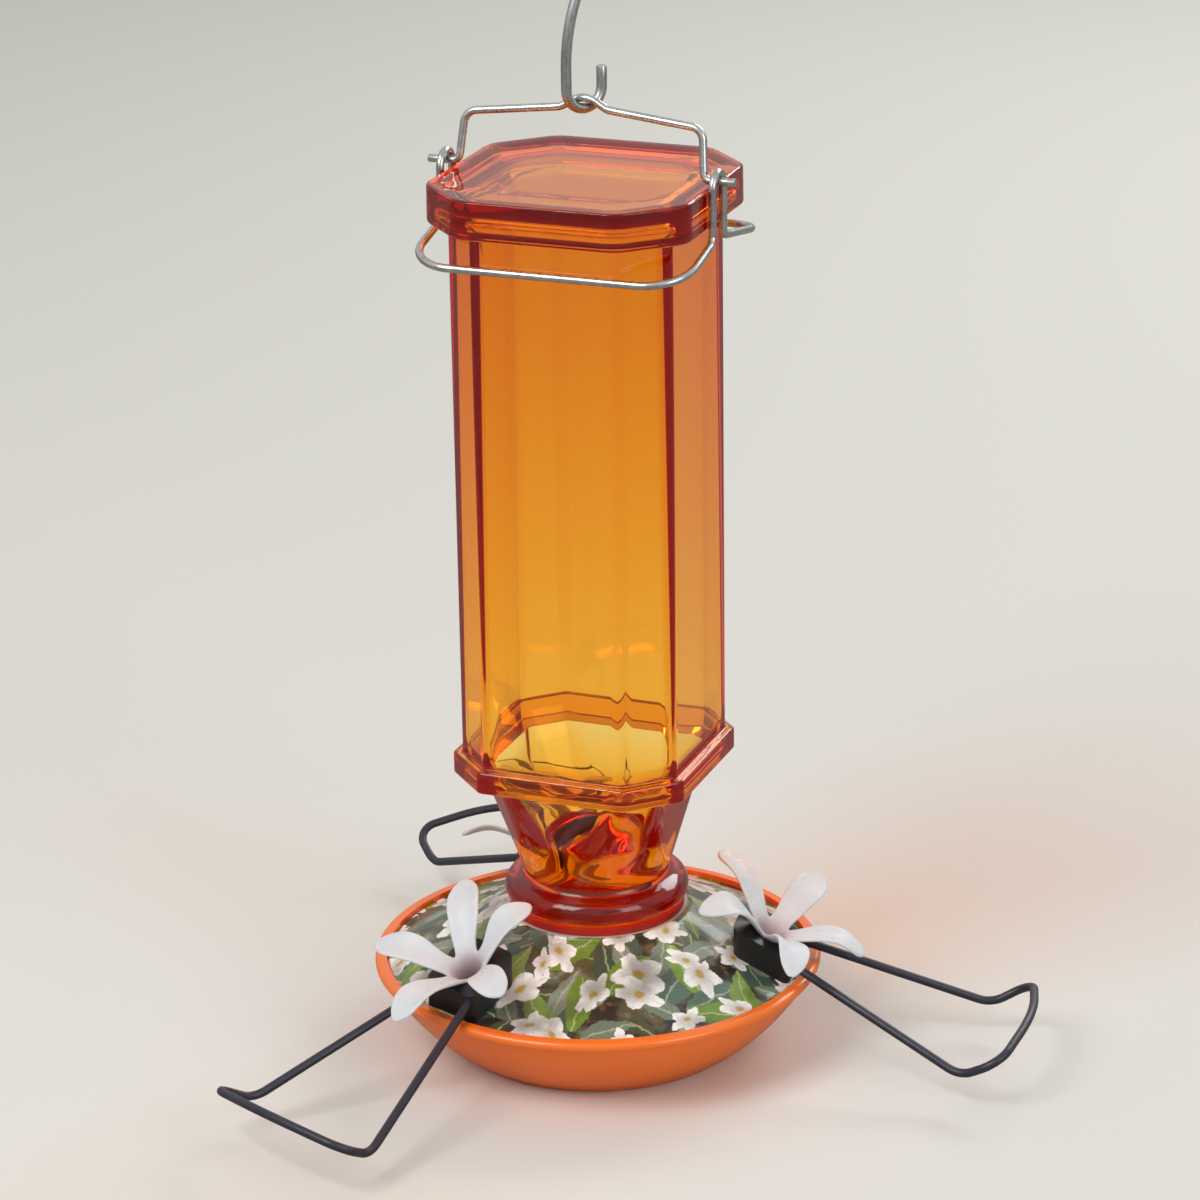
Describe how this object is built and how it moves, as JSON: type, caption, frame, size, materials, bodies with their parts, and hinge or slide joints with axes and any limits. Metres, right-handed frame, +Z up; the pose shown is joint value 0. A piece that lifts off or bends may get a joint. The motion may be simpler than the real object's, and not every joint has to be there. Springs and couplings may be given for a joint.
{
  "type": "oriole feeder",
  "caption": "Hanging nectar feeder: chamfered square glass bottle standing in a round bowl with a printed cover, blossom ports, wire perches, wire bail and S-hook.",
  "frame": {"origin": "middle of the bowl's flat foot, on the surface that it stands on", "axes": "+Z up through the bottle to the hook, +X along the wire bail, which is across one pair of the bottle's flat faces"},
  "size_m": [0.2286, 0.2474, 0.3617],
  "materials": {
    "orange_glass": "clear tinted glass",
    "bowl_plastic": "glossy, slightly see-through",
    "printed_cover": "blossom and leaf print under gloss",
    "seal_rubber": "matte",
    "galvanised_wire": "bright galvanised",
    "black_block": "satin moulded",
    "coated_wire": "powder coated, satin",
    "white_petal": "pearly with a fine glitter"
  },
  "bodies": {
    "bowl": {"bowl": "bowl_plastic"},
    "top": {"cover": "printed_cover", "perch_block_1": "black_block", "perch_block_2": "black_block", "perch_block_3": "black_block", "perch_1": "coated_wire", "perch_2": "coated_wire", "perch_3": "coated_wire"},
    "seal": {"neck_seal": "seal_rubber"},
    "bottle": {"bottle": "orange_glass", "wire_collar": "galvanised_wire"},
    "bail": {"bail": "galvanised_wire"},
    "hook": {"s_hook": "galvanised_wire"},
    "flower_1": {"flower_1": "white_petal"},
    "flower_2": {"flower_2": "white_petal"},
    "flower_3": {"flower_3": "white_petal"}
  },
  "joints": [
    {"name": "cover_lift", "type": "slide", "parent": "bowl", "child": "top", "axis": [0, 0, 1], "range_m": [0, 0.04]},
    {"name": "neck_rise", "type": "slide", "parent": "top", "child": "seal", "axis": [0, 0, 1], "range_m": [0, 0.0081]},
    {"name": "bottle_turn", "type": "hinge", "parent": "seal", "child": "bottle", "pos_m": [0, 0, 0], "axis": [0, 0, 1], "range_deg": [0, 720]},
    {"name": "bail_swing", "type": "hinge", "parent": "bottle", "child": "bail", "pos_m": [0, -0.004, 0.2683], "axis": [1, 0, 0], "range_deg": [-61, 86]},
    {"name": "hook_swing", "type": "hinge", "parent": "bail", "child": "hook", "pos_m": [0, 0, 0.28861], "axis": [-1, 0, 0], "range_deg": [-55, 55]},
    {"name": "flower_1_pull", "type": "slide", "parent": "top", "child": "flower_1", "axis": [0.4471, 0.0446, 0.8934], "range_m": [0, 0.016]},
    {"name": "flower_2_pull", "type": "slide", "parent": "top", "child": "flower_2", "axis": [-0.2622, 0.3649, 0.8934], "range_m": [0, 0.016]},
    {"name": "flower_3_pull", "type": "slide", "parent": "top", "child": "flower_3", "axis": [-0.1849, -0.4095, 0.8934], "range_m": [0, 0.016]}
  ],
  "couplings": [
    {"joint": "neck_rise", "follows": "bottle_turn", "m_per_rad": 0.00063662}
  ]
}
